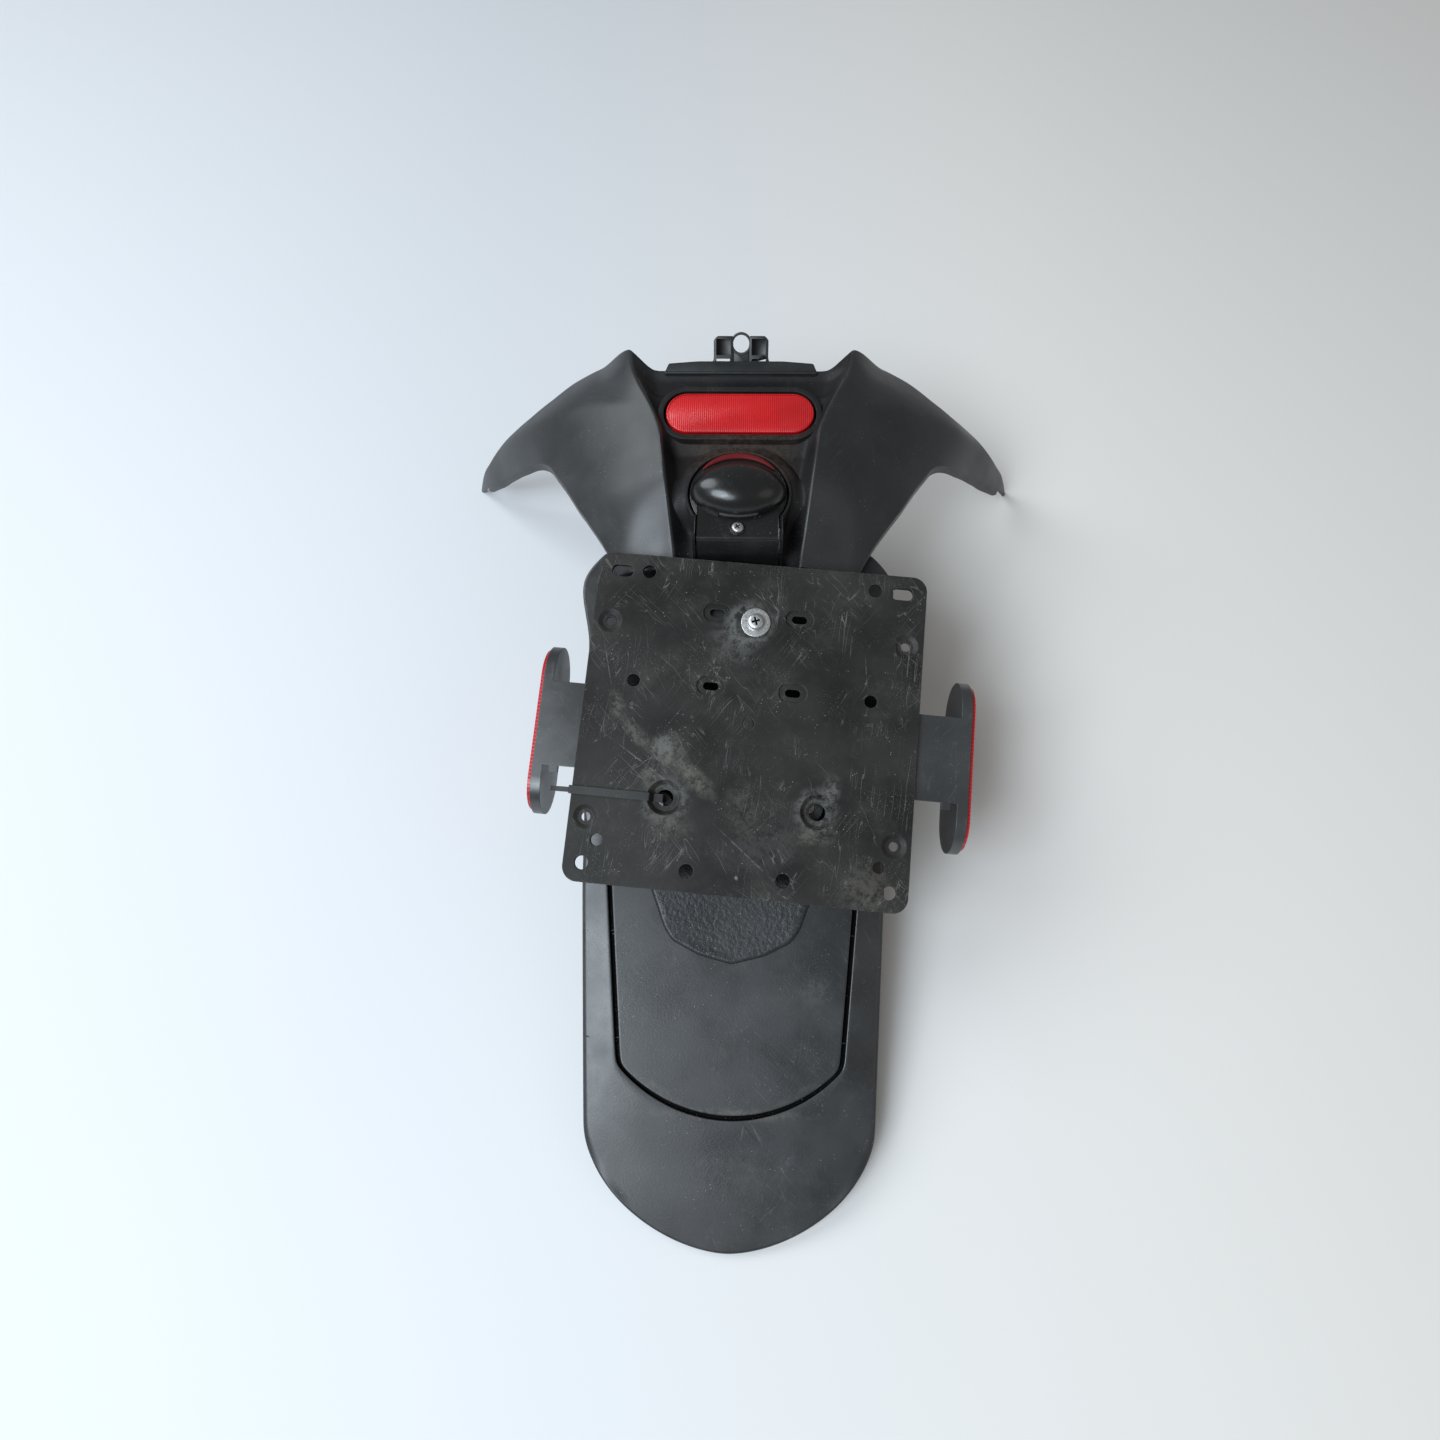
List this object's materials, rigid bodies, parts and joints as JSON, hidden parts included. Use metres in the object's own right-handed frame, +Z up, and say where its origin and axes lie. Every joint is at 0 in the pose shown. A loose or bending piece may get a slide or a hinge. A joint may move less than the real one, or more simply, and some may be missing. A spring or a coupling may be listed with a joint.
{
  "type": "motorcycle rear fender",
  "caption": "Black plastic rear fender for a scooter, with a winged tail cover, a centre reflector, a number plate lamp, a square plate carrier, side reflectors and a long tongue.",
  "frame": {"origin": "on the ground, below the middle of the whole part", "axes": "+X to the right seen from behind the vehicle, +Y from the tongue towards the tail cover's mounting bracket, +Z up with the part lying face up"},
  "size_m": [0.4406, 0.5457, 0.1652],
  "materials": {
    "black_plastic": "satin, scratched",
    "dull_plastic": "dusty, scratched",
    "gloss_black": "glossy, dusty",
    "signal_red": "prismatic, glossy",
    "dark_red": "glossy",
    "clear": "clear",
    "zinc": "bright zinc, light wear",
    "rubber_black": "matt",
    "nylon_black": "smooth nylon"
  },
  "bodies": {
    "root": {"tail_cover": "black_plastic", "lower_fender": "black_plastic", "reflector_stay": "black_plastic", "plate_carrier": "dull_plastic", "reflector_lens": "signal_red", "left_side_lens": "signal_red", "right_side_lens": "signal_red", "reflector_base": "gloss_black", "left_side_back": "gloss_black", "right_side_back": "gloss_black", "lamp_base": "gloss_black", "lamp_hood": "gloss_black", "lamp_rim": "dark_red", "lamp_lens": "clear", "lamp_bulb": "clear", "lamp_socket": "dull_plastic", "lamp_screw": "zinc", "lamp_grommet": "rubber_black", "side_nuts": "zinc", "plate_screw": "zinc", "plate_washer": "zinc", "plate_nut": "zinc", "reflector_nut": "zinc", "joining_screws": "zinc", "clip_nuts": "zinc", "cable_tie": "nylon_black"}
  },
  "joints": []
}
